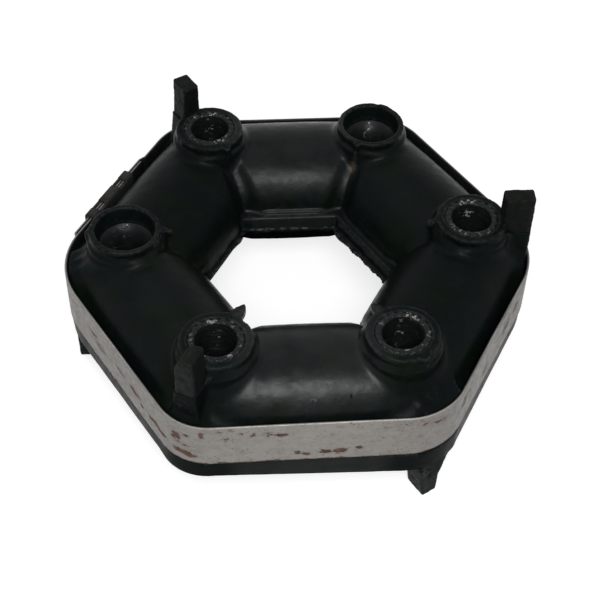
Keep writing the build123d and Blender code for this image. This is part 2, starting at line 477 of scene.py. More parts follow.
@dataclass(frozen=True)
class StationView:
    """Places as seen from their nearest bolt station.

    Attributes:
        station: Number of the station, from 0 to 5.
        out: Distance from the bolt axis, away from the shaft.
        turn: Distance from the web's middle plane, to the left seen from the shaft.
        side: Number of the nearest side; side 0 lies between stations 0 and 1.
        across: Distance from the shaft towards the middle of the nearest side.
        beside: The same towards the side that lies past the station.
        along: Distance from the middle of that side towards the station.
        height: Height over the middle of the ring.
    """

    station: Values
    out: Values
    turn: Values
    side: Values
    across: Values
    beside: Values
    along: Values
    height: Values

    @classmethod
    def of(cls, points: Values, sizes: CouplingSizes) -> "StationView":
        """Looks at points from the stations that are nearest to them."""
        x, y, height = points.T
        whole = np.round(np.degrees(np.arctan2(y, x)) / STEP)
        facing = np.radians(whole * STEP)
        reach = x * np.cos(facing) + y * np.sin(facing)
        turn = y * np.cos(facing) - x * np.sin(facing)
        out = reach - sizes.bolt_circle
        aside = np.abs(turn)
        return cls(
            station=whole.astype(int) % STATION_COUNT,
            out=out,
            turn=turn,
            side=(whole.astype(int) - (turn < 0)) % STATION_COUNT,
            across=reach * HALF_COSINE + aside * HALF_SINE,
            beside=reach * HALF_COSINE - aside * HALF_SINE,
            along=sizes.half_chord + out * HALF_SINE - aside * HALF_COSINE,
            height=height,
        )

    def hexagon(self, flat: float, corners: Values) -> Values:
        """Distance to a hexagon with rounded corners at the stations.

        Args:
            flat: From the shaft to each flat side.
            corners: Radius of the corner at each station.

        Returns:
            Distances in the plane, negative inside.
        """
        corner = corners[self.station]
        inner = flat - corner
        past = np.maximum(self.along - inner * HALF_SINE / HALF_COSINE, 0)
        bent = np.hypot(np.maximum(self.across - inner, 0), past) - corner
        return np.where(past > 0, bent, self.across - flat)

    def outside(self, distances: Values) -> Values:
        """Distance outward from a six-sided outline.

        Args:
            distances: From the shaft to each of its sides.

        Returns:
            Distances in the plane, negative inside.
        """
        past = np.where(self.turn < 0, self.station, self.station - 1) % STATION_COUNT
        return np.maximum(self.across - distances[self.side], self.beside - distances[past])


# ----------------------------------------------------------------- finishes
class Recipe:
    """Node tree of one finish, with short calls for what the finishes share."""

    def __init__(self, name: str) -> None:
        """Starts an empty material that is worked out in object coordinates."""
        self.material = bpy.data.materials.new(name)
        self.material.use_nodes = True
        self.tree = self.material.node_tree
        self.tree.nodes.clear()
        self.output = self.tree.nodes.new("ShaderNodeOutputMaterial")
        self.shader = self.tree.nodes.new("ShaderNodeBsdfPrincipled")
        self.tree.links.new(self.shader.outputs["BSDF"], self.output.inputs["Surface"])
        self.places = self.tree.nodes.new("ShaderNodeTexCoord").outputs["Object"]

    def add(self, kind: str, output: str, inputs: dict | None = None, **settings: str) -> Socket:
        """Adds a node to the tree.

        Args:
            kind: Kind of node, without the words that all kinds begin with.
            output: Name of the output that is wanted.
            inputs: For each input by name or number, its value or what is linked to it.
            **settings: Settings of the node itself.

        Returns:
            The output.
        """
        node = self.tree.nodes.new(f"ShaderNode{kind}")
        for name, setting in settings.items():
            setattr(node, name, setting)
        for name, value in (inputs or {}).items():
            if isinstance(value, Socket):
                self.tree.links.new(value, node.inputs[name])
            else:
                node.inputs[name].default_value = value
        return node.outputs[output]

    def stretched(self, x: float, y: float, z: float) -> Socket:
        """Object coordinates scaled along each axis."""
        return self.add("Mapping", "Vector", {"Vector": self.places, "Scale": (x, y, z)})

    def noise(
        self, size: float, detail: float = 4, rough: float = 0.55, places: Socket | None = None
    ) -> Socket:
        """Noise whose features are about so large, from nought to one."""
        inputs = {"Scale": 1 / size, "Detail": detail, "Roughness": rough}
        inputs["Vector"] = places or self.places
        return self.add("TexNoise", "Fac", inputs)

    def mark(self, mark: Mark) -> Socket:
        """A mark that the mesh carries."""
        return self.add("Attribute", "Fac", attribute_name=mark.value)

    def ramp(
        self, value: Socket, low: float, high: float, to_low: float = 0.0, to_high: float = 1.0
    ) -> Socket:
        """Stretches the values between low and high, and holds them outside."""
        inputs = {"From Min": low, "From Max": high, "To Min": to_low, "To Max": to_high}
        inputs["Value"] = value
        return self.add("MapRange", "Result", inputs, interpolation_type="SMOOTHSTEP")

    def blotches(
        self,
        size: float,
        detail: float,
        rough: float,
        low: float,
        high: float,
        to_low: float = 0.0,
        to_high: float = 1.0,
    ) -> Socket:
        """Noise that is stretched between low and high."""
        return self.ramp(self.noise(size, detail, rough), low, high, to_low, to_high)

    def marked(
        self, mark: Mark, size: float, detail: float, rough: float, low: float, high: float
    ) -> Socket:
        """A mark of the mesh, broken up by blotches."""
        return self.times(self.mark(mark), self.blotches(size, detail, rough, low, high))

    def times(self, first: Socket, second: Socket | float) -> Socket:
        """One value times another."""
        return self.add("Math", "Value", {0: first, 1: second}, operation="MULTIPLY")

    def plus(self, first: Socket, second: Socket | float) -> Socket:
        """One value and another."""
        return self.add("Math", "Value", {0: first, 1: second}, operation="ADD")

    def facing_up(self) -> Socket:
        """How far the surface faces upward, from -1 to 1."""
        return self.add("SeparateXYZ", "Z", {"Vector": self.add("NewGeometry", "Normal")})

    def colours(self, share: Socket, first: Socket | Colour, second: Socket | Colour) -> Socket:
        """Mixes two colours by a share."""
        inputs = {"Factor": share}
        for name, colour in (("A", first), ("B", second)):
            inputs[name] = (*colour, 1.0) if isinstance(colour, tuple) else colour
        return self.add("Mix", "Result", inputs, data_type="RGBA")

    def bumps(self, *layers: tuple[Socket, float]) -> None:
        """Raises the surface by layers of (height from nought to one, depth)."""
        below = {}
        for height, depth in layers:
            inputs = {"Strength": 1.0, "Distance": depth, "Height": height, **below}
            below = {"Normal": self.add("Bump", "Normal", inputs)}
        self.link(below["Normal"], "Normal")

    def link(self, value: Socket, socket: str) -> None:
        """Feeds a socket of the shader."""
        self.tree.links.new(value, self.shader.inputs[socket])

    def set(self, metallic: float = 0.0, specular: float = 0.5) -> None:
        """Sets what is the same all over the surface."""
        self.shader.inputs["Metallic"].default_value = metallic
        self.shader.inputs["Specular IOR Level"].default_value = specular


@dataclass(frozen=True)
class RubberFinish:
    """Near-black moulded rubber, satin where it is clean and dull with dust.

    Attributes:
        cool: Colour of the bluish rubber.
        green: Colour of the greenish rubber.
        dust: Colour of dusty rubber.
        bloom: Colour of scuffed edges.
        rust: Colour of rust run on to the rubber.
        shine: How much the clean sides shine.
        least_shine: How much the rest shines.
    """

    cool: Colour = (0.0026, 0.0042, 0.0044)
    green: Colour = (0.0024, 0.0046, 0.0030)
    dust: Colour = (0.010, 0.0145, 0.0135)
    bloom: Colour = (0.030, 0.034, 0.032)
    rust: Colour = (0.06, 0.045, 0.031)
    shine: float = 0.13
    least_shine: float = 0.03

    def material(self) -> Material:
        """Builds the material."""
        recipe = Recipe("moulded_rubber")
        colour = recipe.colours(
            recipe.blotches(14 * MM, 3, 0.55, 0.4, 0.62), self.cool, self.green
        )
        film = recipe.times(recipe.blotches(6 * MM, 6, 0.7, 0.45, 0.8), 0.25)
        worn = recipe.marked(Mark.WORN, 1.6 * MM, 5, 0.7, 0.35, 0.65)
        hollow = recipe.marked(Mark.HOLLOW, 2.5 * MM, 4, 0.6, 0.4, 0.7)
        rust = recipe.marked(Mark.RUST, 0.9 * MM, 4, 0.7, 0.3, 0.6)
        specks = recipe.blotches(0.35 * MM, 2, 0.55, 0.74, 0.8)
        for share, tint in (
            (film, self.dust),
            (worn, self.bloom),
            (recipe.times(hollow, 0.6), self.dust),
            (rust, self.rust),
            (specks, self.dust),
        ):
            colour = recipe.colours(share, colour, tint)
        recipe.link(colour, "Base Color")
        dull = recipe.blotches(3 * MM, 5, 0.65, 0.3, 0.7, 0.28, 0.4)
        recipe.link(recipe.plus(dull, recipe.times(worn, 0.25)), "Roughness")
        clean = recipe.blotches(9 * MM, 4, 0.6, 0.3, 0.6, 0.6, 1.0)
        sheen = recipe.times(recipe.times(recipe.mark(Mark.SHEEN), clean), self.shine)
        exposed = recipe.ramp(recipe.facing_up(), -0.35, 0.3)
        sheen = recipe.times(recipe.plus(sheen, self.least_shine), exposed)
        recipe.link(sheen, "Specular IOR Level")
        grain = recipe.noise(0.7 * MM, 5, 0.65)
        recipe.bumps((recipe.noise(2.4 * MM, 3, 0.5), 0.05 * MM), (grain, 0.03 * MM))
        return recipe.material


@dataclass(frozen=True)
class CastFinish:
    """Rough cast metal, blackened, smeared with rubber, browned at its edges; painted light greys
    the outer faces.

    Attributes:
        dark: Colour of the blackened metal.
        grey: Colour painted on the outer faces as the light that falls on them.
        edge: Colour of rubbed edges.
        rust: Colour of rust.
    """

    dark: Colour = (0.0035, 0.0045, 0.0042)
    grey: Colour = (0.0125, 0.0155, 0.0145)
    edge: Colour = (0.028, 0.032, 0.03)
    rust: Colour = (0.0072, 0.0076, 0.006)

    def material(self) -> Material:
        """Builds the material."""
        recipe = Recipe("cast_metal")
        # Painted light: the outer faces that the mesh marks turn grey, the sides stay dark.
        outer = recipe.marked(Mark.SHEEN, 4 * MM, 6, 0.65, 0.3, 0.6)
        rust = recipe.marked(Mark.RUST, 1.4 * MM, 5, 0.7, 0.4, 0.6)
        worn = recipe.marked(Mark.WORN, 1.1 * MM, 4, 0.6, 0.48, 0.66)
        colour = recipe.colours(outer, self.dark, self.grey)
        colour = recipe.colours(rust, colour, self.rust)
        recipe.link(recipe.colours(worn, colour, self.edge), "Base Color")
        recipe.link(recipe.blotches(1.5 * MM, 5, 0.6, 0.3, 0.7, 0.45, 0.65), "Roughness")
        recipe.set(specular=0.045)
        pits = recipe.noise(0.5 * MM, 3, 0.6)
        recipe.bumps((recipe.noise(1.8 * MM, 5, 0.6), 0.16 * MM), (pits, 0.05 * MM))
        return recipe.material


@dataclass(frozen=True)
class SleeveFinish:
    """Dull dark steel, oily and rusting, with bare tooth tips that carry painted glints, and a
    painted highlight in the bore.

    Attributes:
        dark: Colour of oily steel.
        grey: Colour of drier steel.
        bright: Colour of bare steel, of the painted glints and of the painted highlight.
        rust: Colour of rust.
    """

    dark: Colour = (0.006, 0.008, 0.0085)
    grey: Colour = (0.0075, 0.0098, 0.0105)
    bright: Colour = (0.26, 0.26, 0.245)
    rust: Colour = (0.013, 0.011, 0.0095)

    def material(self) -> Material:
        """Builds the material."""
        recipe = Recipe("sleeve_steel")
        oil = recipe.blotches(2.2 * MM, 5, 0.6, 0.4, 0.65)
        rust = recipe.marked(Mark.RUST, 1.3 * MM, 5, 0.7, 0.42, 0.62)
        # Bare tooth tips and scores, with painted glints on the teeth and a painted highlight down
        # the bore.
        worn = recipe.marked(Mark.WORN, 1.6 * MM, 3, 0.6, 0.57, 0.66)
        colour = recipe.colours(oil, self.dark, self.grey)
        colour = recipe.colours(rust, colour, self.rust)
        recipe.link(recipe.colours(worn, colour, self.bright), "Base Color")
        recipe.link(recipe.blotches(0.9 * MM, 4, 0.6, 0.3, 0.7, 0.28, 0.55), "Roughness")
        recipe.set(metallic=0.2, specular=0.12)
        recipe.bumps((recipe.noise(0.6 * MM, 4, 0.6), 0.06 * MM))
        return recipe.material


@dataclass(frozen=True)
class StrapFinish:
    """Bare steel strapping gone matt, with rust patches, streaks and pits, painted shade on some
    sides and a painted highlight on its upper edge.

    Attributes:
        name: Name of the material.
        bare: Colour of clean steel.
        stained: Colour of stained steel.
        dull: Colour of painted shade on the sides of the band that get the least light.
        edge: Colour of the rubbed upper edge, which also paints a highlight along it.
        rust: Colour of rust.
        dark_rust: Colour of old rust and of specks.
        grime: Colour of the blackened inside.
        rust_share: How much more readily rust breaks out where the mesh is marked.
    """

    name: str = "strap_steel"
    bare: Colour = (0.262, 0.25, 0.233)
    stained: Colour = (0.222, 0.209, 0.193)
    dull: Colour = (0.125, 0.12, 0.11)
    edge: Colour = (0.42, 0.41, 0.39)
    rust: Colour = (0.135, 0.073, 0.056)
    dark_rust: Colour = (0.075, 0.042, 0.032)
    grime: Colour = (0.008, 0.009, 0.0085)
    rust_share: float = 0.3

    def material(self) -> Material:
        """Builds the material."""
        recipe = Recipe(self.name)
        streaks = recipe.noise(2.6 * MM, 6, 0.7, recipe.stretched(0.7, 0.7, 1.0))
        colour = recipe.colours(recipe.ramp(streaks, 0.42, 0.68), self.bare, self.stained)
        # Painted shade: the lower the mesh's mark, the more the steel turns to the dull colour.
        colour = recipe.colours(recipe.mark(Mark.SHEEN), self.dull, colour)
        # Rubbed bare steel on the upper edge, lightened as a painted highlight.
        colour = recipe.colours(recipe.mark(Mark.WORN), colour, self.edge)
        seeds = recipe.noise(1.5 * MM, 6, 0.72, recipe.stretched(0.6, 0.6, 1.3))
        push = recipe.plus(seeds, recipe.times(recipe.mark(Mark.RUST), self.rust_share))
        rusty = recipe.ramp(push, 0.67, 0.71)
        stains = recipe.blotches(5 * MM, 7, 0.68, 0.4, 0.6)
        colour = recipe.colours(rusty, colour, recipe.colours(stains, self.rust, self.dark_rust))
        specks = recipe.blotches(0.6 * MM, 2, 0.55, 0.61, 0.7)
        crowd = recipe.blotches(5 * MM, 3, 0.55, 0.4, 0.58, 0.2, 0.95)
        colour = recipe.colours(recipe.times(specks, crowd), colour, self.dark_rust)
        colour = recipe.colours(recipe.mark(Mark.HOLLOW), colour, self.grime)
        recipe.link(colour, "Base Color")
        recipe.link(recipe.ramp(push, 0.4, 0.75, 0.42, 0.8), "Roughness")
        recipe.set(metallic=0.3, specular=0.2)
        dents, grain = recipe.noise(7 * MM, 2), recipe.noise(0.8 * MM, 4, 0.65)
        recipe.bumps((dents, 0.05 * MM), (grain, 0.03 * MM), (rusty, 0.03 * MM))
        return recipe.material


@dataclass(frozen=True)
class FloorFinish:
    """Plain pale floor that shows white where no shadow falls.

    Attributes:
        pale: Colour of the floor.
        lift: Light that it adds for the eye alone.
        specular: How much it shines.
        roughness: How rough it is.
    """

    pale: Colour = (0.5, 0.5, 0.5)
    lift: float = 0.72
    specular: float = 0.1
    roughness: float = 0.9

    def material(self) -> Material:
        """Builds the material."""
        recipe = Recipe("pale_floor")
        recipe.shader.inputs["Base Color"].default_value = (*self.pale, 1.0)
        recipe.set(specular=self.specular)
        recipe.shader.inputs["Roughness"].default_value = self.roughness
        glow = recipe.times(seen_rays(recipe.tree), self.lift)
        light = recipe.add("Emission", "Emission", {"Strength": glow})
        both = recipe.add("AddShader", "Shader", {0: recipe.shader.outputs["BSDF"], 1: light})
        recipe.tree.links.new(both, recipe.output.inputs["Surface"])
        return recipe.material


def seen_rays(tree: bpy.types.NodeTree) -> Socket:
    """One for the rays of an eye, a mirror or a glass, and nought for the rest."""
    path = tree.nodes.new("ShaderNodeLightPath")
    seen = path.outputs["Is Camera Ray"]
    for kind in ("Is Glossy Ray", "Is Transmission Ray"):
        node = tree.nodes.new("ShaderNodeMath")
        node.operation = "MAXIMUM"
        tree.links.new(seen, node.inputs[0])
        tree.links.new(path.outputs[kind], node.inputs[1])
        seen = node.outputs["Value"]
    return seen


# -------------------------------------------------------------- rubber ring
@dataclass(frozen=True)
class Beak:
    """Flash that the mould left on one collar, where its halves met.

    Attributes:
        inward: How far it sticks out towards the shaft.
        outward: How far it sticks out away from the shaft.
        half: Half its width at the collar.
    """

    inward: float
    outward: float
    half: float = 1.5 * MM


@dataclass
class RubberRing:
    """The moulded rubber: six barrels, their collars, the land and the lip."""

    sizes: CouplingSizes
    barrel_bulge: float = 0.6 * MM
    barrel_end_round: float = 3.0 * MM
    web_half: float = 2.0 * MM
    web_sink: float = 0.9 * MM
    band_gap: float = 0.2 * MM
    corners: tuple[float, ...] = BAND_CORNERS
    filler_half: float = 4.0 * MM
    filler_top: float = 9.0 * MM
    filler_slope: float = 0.35
    filler_depth: float = 4.0 * MM
    collar_rim: float = 10.4 * MM
    collar_foot: float = 11.3 * MM
    collar_step: float = 2.9 * MM
    collar_drafts: tuple[float, float] = (0.04, 0.03)
    sleeve_fit: float = 0.05 * MM
    funnels: tuple[int, ...] = (1, 3)
    funnel_mouth: float = 8.8 * MM
    funnel_depth: float = 12.0 * MM
    funnel_foot: float = 5.0 * MM
    land_proud: float = 2.2 * MM
    land_top: float = 3.2 * MM
    land_bottom: float = -2.0 * MM
    land_depth: float = 9.0 * MM
    bead_side: int = 1
    bead_radius: float = 0.45 * MM
    bare_sides: tuple[int, ...] = (2, 3, 5)
    bare_sink: float = 1.0 * MM
    bare_flash: float = 0.8 * MM
    flash: float = 0.6 * MM
    wide_flash_sides: tuple[int, ...] = (0,)
    wide_flash: float = 1.4 * MM
    flash_half: float = 0.4 * MM
    flash_root: float = 4.0 * MM
    lip_height: float = 7.2 * MM
    lip_drops: tuple[float, ...] = (0.0, 0.0, 0.0, 0.0, 0.0, 1.4 * MM)
    lip_depth: float = 14.0 * MM
    lip_setback: float = 0.5 * MM
    lip_round: float = 2.0 * MM
    lip_clearance: float = 0.1 * MM
    knob_station: int = 4
    knob_place: Triple = (15.0 * MM, -0.8 * MM, -11.2 * MM)
    knob_stretch: Triple = (4.4, 7.0, 3.6)
    bar_depth: float = 7.6 * MM
    bar_half: float = 3.3 * MM
    root_skin: float = 0.9 * MM
    root_top: float = 19.0 * MM
    root_foot: float = 9.2 * MM
    root_taper: float = 10.0 * MM
    flared_station: int = 5
    flare: float = 4.6 * MM
    flare_top: float = 28.5 * MM
    flare_end: float = 29.0 * MM
    flare_taper: float = 17.0 * MM
    flare_waist: float = 14.0 * MM
    beak_drop: float = 0.3 * MM
    beak_height: float = 2.4 * MM
    beaks: tuple[Beak, ...] = (
        Beak(2.8 * MM, 2.6 * MM),
        Beak(0.8 * MM, 0.8 * MM),
        Beak(1.0 * MM, 1.4 * MM),
        Beak(3.4 * MM, 1.4 * MM),
        Beak(6.2 * MM, 0.6 * MM, 2.4 * MM),
        Beak(4.2 * MM, 0.6 * MM, 2.0 * MM),
    )
    sheens: tuple[float, ...] = (0.1, 0.6, 0.0, 0.15, 0.85, 0.0)
    rust_spots: tuple[tuple[int, float, float], ...] = (
        (1, -12.6 * MM, 1.0 * MM),
        (3, 12.5 * MM, 0.9 * MM),
    )
    waviness: float = 0.06 * MM
    grain: float = 0.03 * MM
    flash_wear: float = 0.7 * MM
    rim_wear: float = 0.3 * MM
    rim_reach: float = 2.5 * MM
    bar_foot_half: float = 6.0 * MM
    sheen_reach: float = 24.0 * MM
    sheen_fade: float = 8.0 * MM
    pitch: float = 0.52 * MM
    most_triangles: int = 196_000

    @property
    def barrel_inside(self) -> float:
        """From the shaft to the inside of the barrels."""
        return self.sizes.side - self.sizes.barrel

    @property
    def land_distances(self) -> Values:
        """From the shaft to the land on each side; it is sunk on the bare sides."""
        distances = np.full(STATION_COUNT, self.barrel_inside - self.land_proud)
        distances[list(self.bare_sides)] = self.barrel_inside + self.bare_sink
        return distances

    @property
    def flash_distances(self) -> Values:
        """From the shaft to the edge of the parting flash on each side."""
        distances = self.land_distances - self.flash
        distances[list(self.wide_flash_sides)] += self.flash - self.wide_flash
        distances[list(self.bare_sides)] = self.barrel_inside - self.bare_flash
        return distances

    def form(self, points: Values) -> Values:
        """Distance to the surface of the rubber."""
        view = StationView.of(points, self.sizes)
        up = np.abs(view.height)
        aside = np.abs(view.turn)
        room = self.sizes.band_inside - self.band_gap
        inside = view.hexagon(room, np.array(self.corners) - self.band_gap)
        body = self._barrels(view, aside)
        body = joined(body, self._collars(view, up), 2.2 * MM)
        body = joined(body, self._bar_roots(view, aside), 2.0 * MM)
        body = joined(body, self._filler(inside, aside, up), 3.0 * MM)
        body = shared(body, inside, 1.0 * MM)
        body = joined(body, self._land(view), 1.0 * MM)
        body = joined(body, self._flash(view), 0.5 * MM)
        body = joined(body, self._lip(view), 1.4 * MM)
        body = joined(body, self._knob(view), 2.0 * MM)
        body = joined(body, self._beaks(view, up, aside), 0.9 * MM)
        return self._open_bores(view, body)

    def _barrels(self, view: StationView, aside: Values) -> Values:
        """The barrels, cut at the webs, with a groove left over each web."""
        radius = self.sizes.barrel - self.barrel_bulge * (view.along / self.sizes.half_chord) ** 2
        barrel = np.hypot(view.across - self.sizes.side, view.height) - radius
        ends = shared(barrel, self.web_half - aside, self.barrel_end_round)
        return joined(ends, barrel + self.web_sink, 0.7 * MM)

    def _collars(self, view: StationView, up: Values) -> Values:
        """A stepped collar round each sleeve, at both faces."""
        from_bolt = np.hypot(view.out, view.turn)
        below = self.sizes.collar_end - up
        rim_draft, foot_draft = self.collar_drafts
        ring = shared(from_bolt - self.collar_rim - rim_draft * below, -below, 0.8 * MM)
        foot = from_bolt - self.collar_foot - foot_draft * below
        return joined(ring, shared(foot, self.collar_step - below, 1.5 * MM), 0.8 * MM)

    def _bar_roots(self, view: StationView, aside: Values) -> Values:
        """Rubber that runs up the foot of each bar, and flares at one of them."""
        rise = view.height * np.where(view.station % 2 == 0, 1, -1)
        outer = self.sizes.bar_reach - self.sizes.bolt_circle
        skin = self.root_skin * np.clip((self.root_top - rise) / self.root_taper, 0, 1)
        is_flared = (view.station == self.flared_station) & (view.turn > 0)
        spread = self.flare * np.clip((self.flare_end - rise) / self.flare_taper, 0, 1)
        spread -= 0.08 * np.maximum(rise - self.flare_waist, 0)
        half = self.bar_half + skin + np.where(is_flared, spread, 0)
        depth = np.maximum(view.out - outer, outer - self.bar_depth - skin - view.out)
        top = np.where(is_flared, self.flare_top, self.root_top)
        ends = np.maximum(rise - top, -rise - self.root_foot)
        return np.maximum(np.maximum(aside - half, depth), ends)

    def _filler(self, inside: Values, aside: Values, up: Values) -> Values:
        """Rubber between each bar and the band."""
        ring = np.maximum(inside - 1 * MM, -inside - self.filler_depth)
        fall = self.filler_slope * np.maximum(aside - self.filler_half, 0)
        return np.maximum(ring, up - self.filler_top + fall)

    def _land(self, view: StationView) -> Values:
        """The land that the mould leaves round the hole, with a bead on its ledge."""
        middle = (self.land_top + self.land_bottom) / 2
        half = (self.land_top - self.land_bottom) / 2
        past_barrel = view.across - self.barrel_inside
        wall = np.maximum(-view.outside(self.land_distances), past_barrel - self.land_depth / 2)
        land = shared(wall, np.abs(view.height - middle) - half, 0.7 * MM)
        bead = np.hypot(past_barrel, view.height - self.land_top - 0.4 * MM) - self.bead_radius
        bead += 0.2 * np.maximum(view.along - 8 * MM, 0)
        return joined(land, np.where(view.side == self.bead_side, bead, FAR), 0.3 * MM)

    def _flash(self, view: StationView) -> Values:
        """The thin flash that runs round the hole where the mould parted."""
        beyond = view.outside(self.flash_distances)
        level = self.land_bottom + self.flash_half
        sheet = np.abs(view.height - level) - self.flash_half
        return np.maximum(np.maximum(-beyond, beyond - self.flash_root), sheet)

    def _lip(self, view: StationView) -> Values:
        """The lip that the band sits on, deeper towards one corner."""
        side = self.sizes.band_side - self.lip_setback
        outer = view.hexagon(side, np.array(self.corners) - self.lip_setback)
        ring = np.maximum(outer, -outer - self.lip_depth)
        under = self.sizes.band_low - self.lip_clearance
        tall = np.maximum(view.height - under, -self.lip_round)
        drops = np.array(self.lip_drops)
        other = np.where(view.station == view.side, view.side + 1, view.side) % STATION_COUNT
        share = 0.5 + 0.5 * np.clip(view.along / self.sizes.half_chord, 0, 1)
        foot = under - self.lip_height - drops[view.station] * share - drops[other] * (1 - share)
        return np.maximum(shared(ring, foot - view.height, self.lip_round), tall)

    def _knob(self, view: StationView) -> Values:
        """A lump of rubber below the band at the front left corner."""
        from_knob = np.stack([view.out, view.turn, view.height], axis=1) - self.knob_place
        stretch = np.linalg.norm(from_knob / self.knob_stretch, axis=1)
        return np.where(view.station == self.knob_station, (stretch - MM) * 4, FAR)

    def _beaks(self, view: StationView, up: Values, aside: Values) -> Values:
        """Pointed flash on the collars, on both sides of each mouth."""
        inward = np.array([beak.inward for beak in self.beaks])[view.station]
        outward = np.array([beak.outward for beak in self.beaks])[view.station]
        widths = np.array([beak.half for beak in self.beaks])[view.station]
        reach = np.where(view.out > 0, outward, inward) + 1.0 * MM
        past = np.abs(view.out) - self.collar_rim + 1.0 * MM
        half = widths * np.sqrt(np.clip(1 - past / reach, 0, 1))
        top = self.sizes.collar_end - self.beak_drop - 0.25 * np.maximum(past, 0)
        fin = np.maximum(aside - half, np.maximum(past - reach, -past))
        return np.maximum(fin, np.maximum(up - top, top - self.beak_height - up))

    def _open_bores(self, view: StationView, body: Values) -> Values:
        """Takes out the room of the sleeves and the funnelled mouths."""
        from_bolt = np.hypot(view.out, view.turn)
        room = from_bolt - self.sizes.sleeve + self.sleeve_fit
        slope = (self.funnel_mouth - self.sizes.bore) / self.funnel_depth
        below = self.sizes.collar_end - view.height
        funnel = from_bolt - self.funnel_mouth + slope * np.maximum(below, -1 * MM)
        is_funnel = np.isin(view.station, self.funnels) & (view.height > 0)
        is_funnel &= below < self.funnel_foot
        return cut(body, np.where(is_funnel, funnel, room), 0.5 * MM)

    def build(self, material: Material) -> None:
        """Casts the rubber, roughens it and marks where it is worn."""
        low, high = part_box("rubber_ring")
        piece = Casting(self.pitch).draw("moulded_ring", low, high, self.form)
        self._roughen(piece)
        thin_out(piece, self.most_triangles)
        self._mark(piece)
        finish_piece(piece, material, "rubber_ring")

    def _roughen(self, piece: Piece) -> None:
        """Gives the skin the waviness of an old moulding."""
        points = read_points(piece)
        view = StationView.of(points, self.sizes)
        up = np.abs(view.height)
        waves = self.waviness * rough_noise(points, 11 * MM, 11)
        waves += self.grain * rough_noise(points, 1.8 * MM, 23)
        from_edge = np.abs(view.outside(self.flash_distances))
        from_flash = np.abs(view.height - self.land_bottom - self.flash_half)
        ragged = np.clip(1 - from_edge / (1.2 * MM), 0, 1)
        ragged *= np.clip(1 - from_flash / (1.4 * MM), 0, 1)
        waves += self.flash_wear * ragged * rough_noise(points, 1.7 * MM, 41)
        from_rim = np.abs(np.hypot(view.out, view.turn) - self.collar_rim)
        rim = np.clip(1 - from_rim / self.rim_reach, 0, 1)
        rim *= np.clip((up - self.sizes.collar_end + 3 * MM) / (2 * MM), 0, 1)
        waves += self.rim_wear * rim * rough_noise(points, 2.2 * MM, 57)
        close = up > self.sizes.collar_end - 1 * MM
        close |= view.across > self.sizes.band_inside - 0.6 * MM
        waves = np.where(close, np.minimum(waves, 0.0), waves)
        outward = outward_of(points, self.form, self.pitch / 4)
        write_points(piece, points + outward * waves[:, None])

    def _mark(self, piece: Piece) -> None:
        """Marks worn edges, hollows, clean sides and rust."""
        points = read_points(piece)
        bend = bend_of(points, self.form, 0.5 * MM)
        view = StationView.of(points, self.sizes)
        at_bar = (view.out > self.collar_foot) & (np.abs(view.turn) < self.bar_foot_half)
        write_mark(piece, Mark.WORN, np.where(at_bar, 0, (bend - 0.25) / 0.9))
        write_mark(piece, Mark.HOLLOW, (-bend - 0.1) / 0.5)
        middle = np.clip((self.sheen_reach - np.abs(view.along)) / self.sheen_fade, 0, 1)
        write_mark(piece, Mark.SHEEN, np.array(self.sheens)[view.side] * middle)
        rust = np.zeros(len(points))
        for station, out, size in self.rust_spots:
            near = np.hypot(view.out - out, view.turn) / size
            is_here = (view.station == station) & (view.height > 0)
            rust += np.where(is_here, np.clip(1.4 - near, 0, 1), 0)
        write_mark(piece, Mark.RUST, rust)


# ----------------------------------------------------------- bonded inserts
@dataclass(frozen=True)
class LugWear:
    """How the free end of one lug has been knocked about.

    Attributes:
        left: Height lost at the corner on the left, seen from outside.
        right: Height lost at the corner on the right.
        spread: Added to the half width at the band.
        deepening: Added to the depth, towards the shaft.
        lean: How far the tip leans to the right.
        seed: Picks the pattern of its dents.
    """

    left: float = 0.0
    right: float = 0.0
    spread: float = 0.0
    deepening: float = 0.0
    lean: float = 0.0
    seed: int = 0


